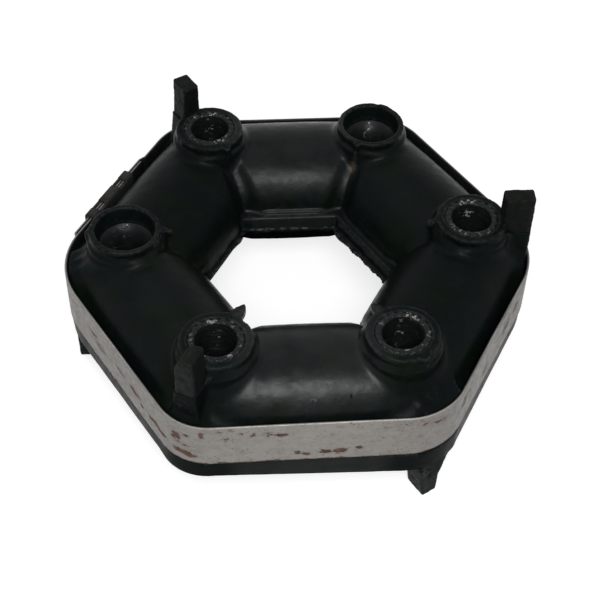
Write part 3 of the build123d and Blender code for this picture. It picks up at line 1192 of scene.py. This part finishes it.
@dataclass
class BondedInsert:
    """One cast insert: a web, a hub round its sleeve, and a bar with a lug."""

    sizes: CouplingSizes
    station: int
    wear: LugWear
    web_half: float = 2.0 * MM
    web_height: float = 16.3 * MM
    web_setback: float = 2.0 * MM
    hub: float = 9.4 * MM
    hub_height: float = 17.0 * MM
    sleeve_fit: float = 0.05 * MM
    bar_depth: float = 7.6 * MM
    root_half: float = 3.4 * MM
    tip_half: float = 2.6 * MM
    bar_edge: float = 0.9 * MM
    tip_edge: float = 0.5 * MM
    short_setback: float = 0.9 * MM
    dent: float = 0.18 * MM
    nick: float = 0.12 * MM
    pitch: float = 0.5 * MM

    @property
    def pointing(self) -> Pointing:
        """Lugs point up and down by turns."""
        return Pointing.UP if self.station % 2 == 0 else Pointing.DOWN

    @property
    def node(self) -> str:
        """Name of the CAD node that the insert stands for."""
        return f"bonded_insert_{self.station + 1}_{self.pointing.name.lower()}"

    def form(self, places: Values) -> Values:
        """Distance to the insert, standing at the first station with its lug up."""
        reach, turn, rise = places.T
        out = reach - self.sizes.bolt_circle
        stretch = np.hypot(out * HALF_COSINE, rise)
        web = np.maximum(np.abs(turn) - self.web_half, stretch - self.web_height)
        web = np.maximum(web, reach - self.sizes.bar_reach + self.web_setback)
        hub = np.maximum(np.hypot(out, turn) - self.hub, np.abs(rise) - self.hub_height)
        body = joined(np.minimum(web, hub), self._bar(reach, turn, rise), 0.8 * MM)
        return np.maximum(body, self.sizes.sleeve - self.sleeve_fit - np.hypot(out, turn))

    def _bar(self, reach: Values, turn: Values, rise: Values) -> Values:
        """The bar, tapered to its tip and knocked off at the corners."""
        wear, tip, band = self.wear, self.sizes.lug_tip, self.sizes.band_high
        share = np.clip((rise - band) / (tip - band), 0, 1)
        turn = turn - wear.lean * share
        root_half = self.root_half + wear.spread
        half = root_half + (self.tip_half - root_half) * share
        bar = shared(np.abs(turn) - half, reach - self.sizes.bar_reach, self.bar_edge)
        depth = self.bar_depth + wear.deepening
        bar = shared(bar, self.sizes.bar_reach - depth - reach, self.bar_edge)
        bar = shared(bar, rise - tip, self.tip_edge)
        for lost, inward in ((wear.left, turn), (wear.right, -turn)):
            fall = (inward + self.tip_half) * lost / (1.4 * self.tip_half)
            bar = shared(bar, (rise - tip + lost - fall) * 0.7, self.tip_edge)
        return shared(bar, -band + self.short_setback - rise, 0.8 * MM)

    def build(self, material: Material) -> None:
        """Casts the insert, dents its lug and turns it to its station."""
        tip = self.sizes.lug_tip
        low = Vector((self.sizes.bolt_circle - 22 * MM, -10 * MM, -18 * MM))
        high = Vector((self.sizes.bar_reach, 10 * MM, tip))
        piece = Casting(self.pitch).draw(f"insert_{self.station + 1}", low, high, self.form)
        points = read_points(piece)
        dents = self.dent * np.abs(rough_noise(points, 3.2 * MM, 100 + self.wear.seed))
        dents += self.nick * np.abs(noise(points, 1.1 * MM, 200 + self.wear.seed))
        dents *= np.clip((points[:, 2] - self.sizes.band_high) / (2 * MM), 0.1, 1)
        points -= outward_of(points, self.form, self.pitch / 4) * dents[:, None]
        bend = bend_of(points, self.form, 0.6 * MM)
        write_points(piece, turned(points, self.station * STEP, self.pointing.value))
        if self.pointing is Pointing.DOWN:
            piece.data.flip_normals()
        write_mark(piece, Mark.WORN, (bend - 0.5) / 1.2)
        near_tip = np.clip((points[:, 2] - tip + 7 * MM) / (6 * MM), 0, 1)
        write_mark(piece, Mark.RUST, 0.3 + 0.4 * near_tip)
        # Painted light: the outer face of the bar is marked to be painted lighter than its sides.
        outer = (points[:, 0] - self.sizes.bar_reach + 2 * MM) / (1.5 * MM)
        write_mark(piece, Mark.SHEEN, np.clip(outer, 0.1, 1))
        finish_piece(piece, material, self.node)


# ------------------------------------------------------------ steel sleeves
@dataclass
class SteelSleeve:
    """One steel sleeve, turned on a lathe, with toothed ends and a scored bore."""

    sizes: CouplingSizes
    station: int
    is_funnel: bool
    tooth_count: int = 20
    tooth_depth: float = 0.5 * MM
    slices_per_tooth: int = 8
    edge: float = 0.4 * MM
    bore_chamfer: float = 0.6 * MM
    face_margin: float = 0.1 * MM
    funnel_rim: float = 18.0 * MM
    funnel_rim_radius: float = 7.5 * MM
    funnel_foot: float = 11.2 * MM
    score_depth: float = 0.2 * MM
    bore_rows: int = 70
    tip_reach: float = 0.35 * MM
    tip_setback: float = 0.3 * MM
    # Place and half height of the painted highlight on the far wall of the bore.
    streak_height: float = 18.0 * MM
    streak_half: float = 3.0 * MM
    rust: float = 0.45

    def build(self, material: Material) -> None:
        """Turns the sleeve and stands it in its collar."""
        radii, heights, toothed = np.array(self._profile()).T[:, :, None]
        slices = self.tooth_count * self.slices_per_tooth
        angles = 2 * np.pi * np.arange(slices) / slices
        wave = np.clip(1.4 * np.cos(angles * self.tooth_count) + 0.1, -1, 1) * 0.5 - 0.5
        lifted = heights + toothed * self.tooth_depth * wave
        grid = np.stack([radii * np.cos(angles), radii * np.sin(angles), lifted], axis=-1)
        points = grid.reshape(-1, 3)
        scores = self._scores(points)
        from_axis = np.hypot(points[:, 0], points[:, 1])
        points[:, :2] *= (1 + scores / from_axis)[:, None]
        centre = turned(np.array([self.sizes.bolt_circle, 0, 0]), self.station * STEP)
        faces = ring_faces(len(radii), slices)
        piece = make_object(f"sleeve_{self.station + 1}", points + centre, faces)
        write_mark(piece, Mark.WORN, self._worn(points, from_axis, scores))
        write_mark(piece, Mark.RUST, np.full(len(points), self.rust))
        finish_piece(piece, material, f"steel_sleeve_{self.station + 1}")

    def _profile(self) -> list[Triple]:
        """Half section of the sleeve, from the foot of its bore round the outside.

        Returns:
            Radius, height and share of the teeth of each point; the last go down the bore.
        """
        end, outer, bore = self.sizes.sleeve_end, self.sizes.sleeve, self.sizes.bore
        bottom = self.bore_chamfer - end
        face_in = bore + self.bore_chamfer + self.face_margin
        face_out = outer - self.edge - self.face_margin
        points = [(bore, bottom, 0.0), (face_in, -end, -0.4), (face_out, -end, -1.0)]
        points.append((outer, self.edge - end, -0.6))
        if self.is_funnel:
            top, rim = self.funnel_foot, self.funnel_rim
            points += [(outer, rim, 0.0), (self.funnel_rim_radius, rim, 0.0)]
        else:
            top = end - self.bore_chamfer
            points += [(outer, end - self.edge, 0.6), (face_out, end, 1.0), (face_in, end, 0.4)]
        shares = np.linspace(0, 1, self.bore_rows + 2)[:-1] ** 1.6
        return points + [(bore, top + (bottom - top) * share, 0.0) for share in shares]

    def _scores(self, points: Values) -> Values:
        """Broken rings round the bore, outward from its wall."""
        seed = 300 + 10 * self.station
        rings = np.clip(rough_noise(points * (1, 1, 5), 5 * MM, seed), -1, 1)
        wall = np.hypot(points[:, 0], points[:, 1]) < self.sizes.bore + 0.05 * MM
        return np.where(wall, self.score_depth * rings, 0)

    def _worn(self, points: Values, from_axis: Values, scores: Values) -> Values:
        """Bare metal on tooth tips and deep scores, painted glints on the teeth and a painted
        highlight in the bore.

        Args:
            points: Places round the sleeve's own axis.
            from_axis: Their distances from it.
            scores: How deeply they are scored.

        Returns:
            How bare the metal is and how much glint is painted on it, from nought up.
        """
        facing = points[:, 1] / from_axis
        up = np.abs(points[:, 2])
        tips = up > self.sizes.sleeve_end - self.tip_reach
        tips &= from_axis > self.sizes.bore + self.tip_setback
        # Painted glints: bare tips, brightest towards the front and the back of the ring.
        teeth = tips * (0.35 + 0.65 * np.clip((np.abs(facing) - 0.6) / 0.2, 0, 1))
        # Painted highlight: a stripe down the far wall of the bore, which faces the front.
        streak = np.clip((facing - 0.975) / 0.015, 0, 1)
        from_streak = np.abs(points[:, 2] - self.streak_height)
        streak *= np.clip(1.5 - from_streak / self.streak_half, 0, 1)
        return teeth + streak + 0.5 * np.clip(scores / self.score_depth - 0.4, 0, 1)


def ring_faces(rows: int, slices: int, closed: bool = True) -> list[list[int]]:
    """Quads between rows of points that each go once round.

    Args:
        rows: How many rows there are.
        slices: How many points each row has.
        closed: True if the last row joins the first.

    Returns:
        Vertex numbers of each quad.
    """
    counts = (np.arange(rows if closed else rows - 1), np.arange(slices))
    row, piece = np.meshgrid(*counts, indexing="ij")
    following, beside = (row + 1) % rows, (piece + 1) % slices
    corners = ((row, piece), (row, beside), (following, beside), (following, piece))
    return np.stack([(one * slices + two).ravel() for one, two in corners], axis=1).tolist()


# ----------------------------------------------------------- band and seal
@dataclass(frozen=True)
class RustPatch:
    """A patch of rust on the outside of the band.

    Attributes:
        along: Where it lies, from the middle of the seal's side, anticlockwise.
        height: Where it lies over the middle of the ring.
        length: Half its length.
        rise: Half its height.
        strength: How thick the rust is, up to about 1.
    """

    along: float
    height: float
    length: float
    rise: float
    strength: float


# Along, height, length, rise and strength of each patch of rust, in millimetres
# but for the strength.
PATCH_SIZES = (
    (104.1, 3.2, 1.5, 1.8, 1.15), (107.2, 5.3, 1.0, 0.7, 0.92), (111.1, 6.7, 0.9, 1.2, 1.03),
    (107.2, 0.8, 1.0, 0.7, 0.92), (105.7, -2.4, 2.5, 1.1, 1.2), (108.0, -3.0, 2.5, 1.0, 1.2),
    (96.0, -0.0, 1.9, 1.0, 1.15), (98.2, -0.9, 2.2, 0.8, 1.15), (115.6, 7.8, 1.2, 1.2, 0.57),
    (117.2, 4.8, 1.0, 1.4, 0.52), (118.8, 8.6, 1.0, 0.7, 0.52), (121.5, 7.1, 0.8, 1.0, 0.63),
    (124.8, 6.3, 1.0, 1.1, 0.63), (129.0, 6.1, 1.5, 1.1, 0.8), (132.5, 5.6, 2.0, 0.8, 0.85),
    (136.0, 6.1, 1.0, 0.8, 0.5), (137.0, 3.6, 1.5, 0.8, 0.5), (136.5, -2.7, 1.5, 0.8, 0.9),
    (139.5, -3.2, 1.5, 0.8, 0.9), (144.5, -2.9, 2.0, 1.0, 1.0), (148.5, -2.7, 2.0, 1.2, 1.0),
    (153.8, -1.7, 1.2, 0.9, 0.8), (146.0, 4.6, 0.6, 0.8, 0.5), (160.5, 7.1, 2.0, 1.2, 0.34),
    (164.8, 7.3, 2.8, 1.3, 0.41), (170.2, 7.3, 2.2, 1.2, 0.6), (174.8, 6.3, 3.0, 1.4, 0.64),
    (170.0, 1.3, 1.0, 0.8, 0.45), (175.8, 0.3, 0.9, 0.9, 0.56), (59.0, 3.1, 2.5, 0.7, 0.95),
    (64.0, 0.8, 4.0, 1.5, 0.6), (76.2, 2.1, 3.2, 1.2, 0.6), (83.8, 1.6, 2.8, 1.5, 1.05),
    (88.0, -0.7, 1.5, 0.7, 0.75), (93.6, -0.5, 2.5, 0.8, 0.98), (43.2, 5.3, 3.2, 0.8, 0.45),
    (186.8, 4.0, 2.2, 2.2, 0.6), (190.5, 5.0, 1.8, 1.4, 0.5), (219.8, 2.0, 3.0, 2.4, 0.6),
    (227.8, 3.0, 2.6, 2.0, 0.55), (203.8, -1.0, 2.4, 1.8, 0.5),
)
RUST_PATCHES = tuple(
    RustPatch(*(size * MM for size in sizes), strength) for *sizes, strength in PATCH_SIZES
)


@dataclass
class CompressionBand:
    """One strip of steel strapping bent round the ring, lapped at its seal."""

    sizes: CouplingSizes
    even_corner: float = 27.5 * MM
    corners: tuple[float, ...] = BAND_CORNERS
    # Painted light of each side of the band, from the side at 30 degrees: 1 keeps the colour, less
    # paints shade.
    shades: tuple[float, ...] = (0.6, 0.8, 0.9, 0.75, 1.0, 0.45)
    lift: float = 0.8 * MM
    lift_place: float = 178.0 * MM
    lift_reach: float = 65.0 * MM
    seal_angle: float = 150.0
    seal_offset: float = 3.5 * MM
    overlap: float = 38.0 * MM
    step_length: float = 2.0 * MM
    slit: float = 0.6 * MM
    layer_gap: float = 0.1 * MM
    edge: float = 0.18 * MM
    rusty_edge: float = 0.9 * MM
    rubbed_edge: float = 0.1 * MM
    rubbed_depth: float = 0.3 * MM
    dent: float = 0.06 * MM
    ripple: float = 0.04 * MM
    spacing: float = 0.7 * MM
    rows: int = 34
    patches: tuple[RustPatch, ...] = RUST_PATCHES

    @property
    def inner_corner(self) -> float:
        """Radius of an even strip's middle line at the corners."""
        return self.even_corner - self.sizes.band_thickness / 2

    @property
    def middle(self) -> float:
        """From the shaft to the strip's middle line on the flat sides."""
        return self.sizes.band_side - self.sizes.band_thickness / 2

    @property
    def straight(self) -> float:
        """Length of one flat side of an even strip."""
        return 2 * (self.middle - self.inner_corner) * HALF_SINE / HALF_COSINE

    @property
    def side_and_corner(self) -> float:
        """Length of one flat side and one corner of an even strip."""
        return self.straight + math.radians(STEP) * self.inner_corner

    def place(self, travel: float) -> tuple[Vector, Vector]:
        """Where the strip's middle line is, and which way its outside faces.

        Args:
            travel: Distance along an even strip from the middle of the seal's side.

        Returns:
            The place, at height nought, and the outward direction.
        """
        sides = math.floor((travel + self.straight / 2) / self.side_and_corner)
        past = travel - sides * self.side_and_corner
        angle = self.seal_angle + sides * STEP
        bend = math.degrees(max(past - self.straight / 2, 0) / self.inner_corner)
        tangent = direction(angle + 90) * min(past, self.straight / 2)
        flat = direction(angle) * (self.middle - self.inner_corner) + tangent
        return self._sharpened(flat + direction(angle + bend) * self.inner_corner)

    def _sharpened(self, even: Vector) -> tuple[Vector, Vector]:
        """Moves a place outward from an even line to the line with its own corners.

        Args:
            even: Place on the middle line of an even strip.

        Returns:
            The place, at height nought, and the outward direction.
        """
        angle = math.degrees(math.atan2(even.y, even.x))
        station = round(angle / STEP)
        turn = angle - station * STEP
        radius = self.corners[station % STATION_COUNT] - self.sizes.band_thickness / 2
        centre = (self.middle - radius) / HALF_COSINE
        aside = centre * sine(turn)
        reach = centre * cosine(turn) + math.sqrt(max(radius**2 - aside**2, 0))
        facing = math.degrees(math.atan2(reach * sine(turn), reach * cosine(turn) - centre))
        if abs(aside) > radius or abs(facing) > STEP / 2:
            facing = math.copysign(STEP / 2, turn)
            reach = self.middle / cosine(STEP / 2 - abs(turn))
        return direction(angle) * reach, direction(facing + station * STEP)

    def build(self, material: Material) -> None:
        """Bends the strip and marks its rust."""
        tail_start = self.seal_offset - self.overlap / 2
        whole = STATION_COUNT * self.side_and_corner
        first = tail_start + self.slit
        last = whole + tail_start + self.overlap
        count = round((last - first) / self.spacing)
        section = self._section()
        lapped = self.sizes.band_thickness + self.layer_gap
        rows = []
        for travel in np.linspace(first, last, count):
            place, facing = self.place(travel)
            past = travel - whole - tail_start + self.step_length
            out = lapped * np.clip(past / self.step_length, 0, 1)
            for depth, height in section:
                rows.append((*(place + facing * (depth + out)).xy, height, travel, depth, height))
        points, (travels, depths, heights) = np.array(rows)[:, :3], np.array(rows)[:, 3:].T
        slices = len(section)
        faces = ring_faces(count, slices, closed=False)
        faces += [list(range(slices))[::-1], list(range((count - 1) * slices, count * slices))]
        self._warp(points, travels)
        piece = make_object("strap", points, faces)
        write_mark(piece, Mark.RUST, self._rust(travels % whole, heights))
        write_mark(piece, Mark.HOLLOW, depths < 0)
        # Painted shade: each side of the band gets its own level of painted light.
        angles = np.degrees(np.arctan2(points[:, 1], points[:, 0])) / STEP - 0.5
        knots = np.arange(-STATION_COUNT, 2 * STATION_COUNT)
        write_mark(piece, Mark.SHEEN, np.interp(angles, knots, self.shades * 3))
        # Rubbed bare steel and a painted highlight along the upper edge.
        rubbed = heights > self.sizes.band_high - self.rubbed_edge
        rubbed &= depths > -self.rubbed_depth
        write_mark(piece, Mark.WORN, rubbed * (0.35 + 0.45 * noise(points, 9 * MM, 77)))
        finish_piece(piece, material, "compression_band")

    def _section(self) -> list[tuple[float, float]]:
        """Section of the strip: (depth from its middle line, height), all the way round."""
        half = self.sizes.band_thickness / 2
        low, high = self.sizes.band_low, self.sizes.band_high
        rises = np.linspace(low + self.edge, high - self.edge, self.rows)
        outer = [(half, rise) for rise in rises]
        inner = [(-half, rise) for rise in rises[::-4]]
        top = [(half - self.edge, high), (self.edge - half, high)]
        return outer + top + inner + [(self.edge - half, low), (half - self.edge, low)]

    def _warp(self, points: Values, travels: Values) -> None:
        """Lets the strip wander a little, as one that was pulled tight over rubber."""
        outward = points[:, :2] / np.hypot(points[:, 0], points[:, 1])[:, None]
        line = travels[:, None] * (1, 0, 0)
        dents = self.dent * (1 + noise(line, 17 * MM, 71))
        dents += self.ripple * (1 + noise(points, 6 * MM, 72))
        points[:, :2] -= outward * dents[:, None]
        near_lift = np.clip(1 - np.abs(travels - self.lift_place) / self.lift_reach, 0, 1)
        points[:, 2] += self.lift * near_lift

    def _rust(self, travels: Values, heights: Values) -> Values:
        """How rusty the strip is: its patches and its lower edge.

        Args:
            travels: Distances along the strip.
            heights: Heights over the middle of the ring.

        Returns:
            How readily rust breaks out, from nought up.
        """
        rust = 1.3 * np.clip(1 - (heights - self.sizes.band_low) / self.rusty_edge, 0, 1)
        for patch in self.patches:
            along = (travels - patch.along) / patch.length
            near = np.hypot(along, (heights - patch.height) / patch.rise)
            rust = np.maximum(rust, patch.strength * np.clip(1.5 - near, 0, 1))
        return rust


@dataclass
class BandSeal:
    """The seal: a steel clip folded round both layers of the band and crimped."""

    sizes: CouplingSizes
    angle: float = 150.0
    offset: float = 3.5 * MM
    length: float = 23.0 * MM
    thickness: float = 0.9 * MM
    layer_gap: float = 0.1 * MM
    clearance: float = 0.05 * MM
    flap_gap: float = 5.0 * MM
    crimp_count: int = 2
    crimp_depth: float = 2.0 * MM
    crimp_width: float = 3.6 * MM
    fold: float = 1.2 * MM
    edge: float = 0.3 * MM
    crimp_edge: float = 0.4 * MM
    room: float = 1.2 * MM
    outer_room: float = 2.2 * MM
    rust: float = 0.35
    edge_rust: float = 0.5
    grime: float = 0.9
    pitch: float = 0.28 * MM

    def form(self, places: Values) -> Values:
        """Distance to the seal: x from the shaft, y along the side, z up."""
        reach, along, height = places.T
        low, high = self.sizes.band_low, self.sizes.band_high
        inner = self.sizes.band_inside - self.clearance
        lapped = self.layer_gap + self.sizes.band_thickness
        outer = self.sizes.band_side + lapped + self.clearance
        from_middle = np.abs(height - (low + high) / 2)
        depth = np.abs(reach - (inner + outer) / 2) - (outer - inner) / 2
        rise = from_middle - (high - low) / 2 - self.clearance
        shell = shared(depth, rise, self.fold) - self.thickness
        shell = np.maximum(shell, -np.maximum(depth, rise))
        flap = np.maximum(from_middle - self.flap_gap / 2, reach - inner - 0.2 * MM)
        shell = cut(shell, flap, self.edge)
        past = np.abs(along - self.offset)
        shell = shared(shell, past - self.length / 2, self.edge)
        from_crimp = np.abs(past - self.length / self.crimp_count / 2) - self.crimp_width / 2
        notch = np.maximum(from_crimp, self.crimp_depth - self.thickness - rise - self.thickness)
        return cut(shell, notch, self.crimp_edge)

    def build(self, material: Material) -> None:
        """Folds the seal and sets it on its side of the band."""
        sizes, end, room = self.sizes, self.length / 2, self.room
        low = (sizes.band_inside - room, self.offset - end, sizes.band_low - room)
        high = (sizes.band_side + self.outer_room, self.offset + end, sizes.band_high + room)
        piece = Casting(self.pitch).draw("seal", Vector(low), Vector(high), self.form)
        points = read_points(piece)
        bend = bend_of(points, self.form, 0.3 * MM)
        write_points(piece, turned(points, self.angle))
        # The seal carries no painted-light mark, so its colour starts from the band's
        # painted-shade colour.
        write_mark(piece, Mark.RUST, self.rust + self.edge_rust * np.clip(np.abs(bend), 0, 1))
        write_mark(piece, Mark.HOLLOW, np.full(len(points), self.grime))
        finish_piece(piece, material, "band_seal")


# ------------------------------------------------------------------- studio
@dataclass
class Studio:
    """Camera, lamps, pale floor and surroundings."""

    floor_height: float
    azimuth: float = -4.71
    elevation: float = 46.23
    roll: float = 1.44
    distance: float = 415.2 * MM
    aim_low: float = -0.0164
    lens: float = 81.77
    world_strength: float = 0.22
    key_place: Vector = field(default_factory=lambda: Vector((-10 * MM, -345 * MM, 400 * MM)))
    key_power: float = 2.2
    key_size: float = 200 * MM
    fill_place: Vector = field(default_factory=lambda: Vector((-250 * MM, 150 * MM, 700 * MM)))
    fill_power: float = 0.9
    fill_size: float = 700 * MM
    floor_half: float = 3.0
    near_clip: float = 10 * MM

    def build(self) -> None:
        """Sets up all that stands round the coupling."""
        self._camera()
        self._world()
        self._lamp("key", self.key_place, self.key_size, self.key_power)
        self._lamp("fill", self.fill_place, self.fill_size, self.fill_power)
        self._floor()
        bpy.context.scene.view_settings.view_transform = "Standard"

    def _camera(self) -> None:
        """The camera, seen from in front and above."""
        right = direction(self.azimuth)
        back = direction(self.azimuth - 90) * cosine(self.elevation)
        back.z = sine(self.elevation)
        up = back.cross(right)
        ahead = (up * self.aim_low - back).normalized()
        right = (right - ahead * right.dot(ahead)).normalized()
        up = right.cross(ahead)
        turned_right = right * cosine(self.roll) + up * sine(self.roll)
        turned_up = up * cosine(self.roll) - right * sine(self.roll)
        data = bpy.data.cameras.new("camera")
        data.lens = self.lens
        data.clip_start = self.near_clip
        camera = bpy.data.objects.new("camera", data)
        rotation = Matrix((turned_right, turned_up, -ahead)).transposed().to_4x4()
        camera.matrix_world = Matrix.Translation(back * self.distance) @ rotation
        bpy.context.scene.collection.objects.link(camera)
        bpy.context.scene.camera = camera

    def _world(self) -> None:
        """Even grey light from all round, white to the eye."""
        world = bpy.data.worlds.new("studio")
        world.use_nodes = True
        tree = world.node_tree
        background = tree.nodes["Background"]
        background.inputs["Color"].default_value = WHITE
        mix = tree.nodes.new("ShaderNodeMix")
        mix.inputs["A"].default_value = self.world_strength
        mix.inputs["B"].default_value = 1.0
        tree.links.new(seen_rays(tree), mix.inputs["Factor"])
        tree.links.new(mix.outputs["Result"], background.inputs["Strength"])
        bpy.context.scene.world = world

    def _lamp(self, name: str, place: Vector, size: float, power: float) -> None:
        """A square soft lamp that points at the coupling."""
        data = bpy.data.lights.new(name, "AREA")
        data.shape = "SQUARE"
        data.size = size
        data.energy = power
        lamp = bpy.data.objects.new(name, data)
        lamp.location = place
        lamp.rotation_euler = (-place).to_track_quat("-Z", "Y").to_euler()
        bpy.context.scene.collection.objects.link(lamp)

    def _floor(self) -> None:
        """A wide pale floor under the lugs."""
        corners = np.array([(-1, -1, 0), (1, -1, 0), (1, 1, 0), (-1, 1, 0)]) * self.floor_half
        floor = make_object("floor", corners + (0, 0, self.floor_height), [[0, 1, 2, 3]])
        floor.data.materials.append(FloorFinish().material())
        floor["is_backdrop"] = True


# --------------------------------------------------------------------- main
LUG_WEAR = (
    LugWear(left=0.4 * MM, right=0.4 * MM, deepening=1.4 * MM, seed=1),
    LugWear(left=1.0 * MM, right=1.0 * MM, seed=2),
    LugWear(seed=3),
    LugWear(left=0.5 * MM, right=2.6 * MM, seed=4),
    LugWear(left=2.4 * MM, right=0.3 * MM, seed=5),
    LugWear(left=0.1 * MM, right=0.1 * MM, spread=1.2 * MM, lean=1.3 * MM, seed=6),
)


def main() -> None:
    """Builds the coupling's looks and the studio round it."""
    logging.basicConfig(level=logging.INFO, format="%(name)s: %(message)s")
    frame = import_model()
    cad_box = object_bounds()
    sizes = CouplingSizes.read(frame["record"])
    rubber = RubberRing(sizes)
    rubber.build(RubberFinish().material())
    cast_metal = CastFinish().material()
    sleeve_steel = SleeveFinish().material()
    for station in range(STATION_COUNT):
        BondedInsert(sizes, station, LUG_WEAR[station]).build(cast_metal)
        SteelSleeve(sizes, station, station in rubber.funnels).build(sleeve_steel)
    CompressionBand(sizes).build(StrapFinish().material())
    BandSeal(sizes).build(StrapFinish(name="seal_steel", bare=(0.3, 0.285, 0.265)).material())
    Studio(floor_height=cad_box[0].z).build()


if __name__ == "__main__":
    main()
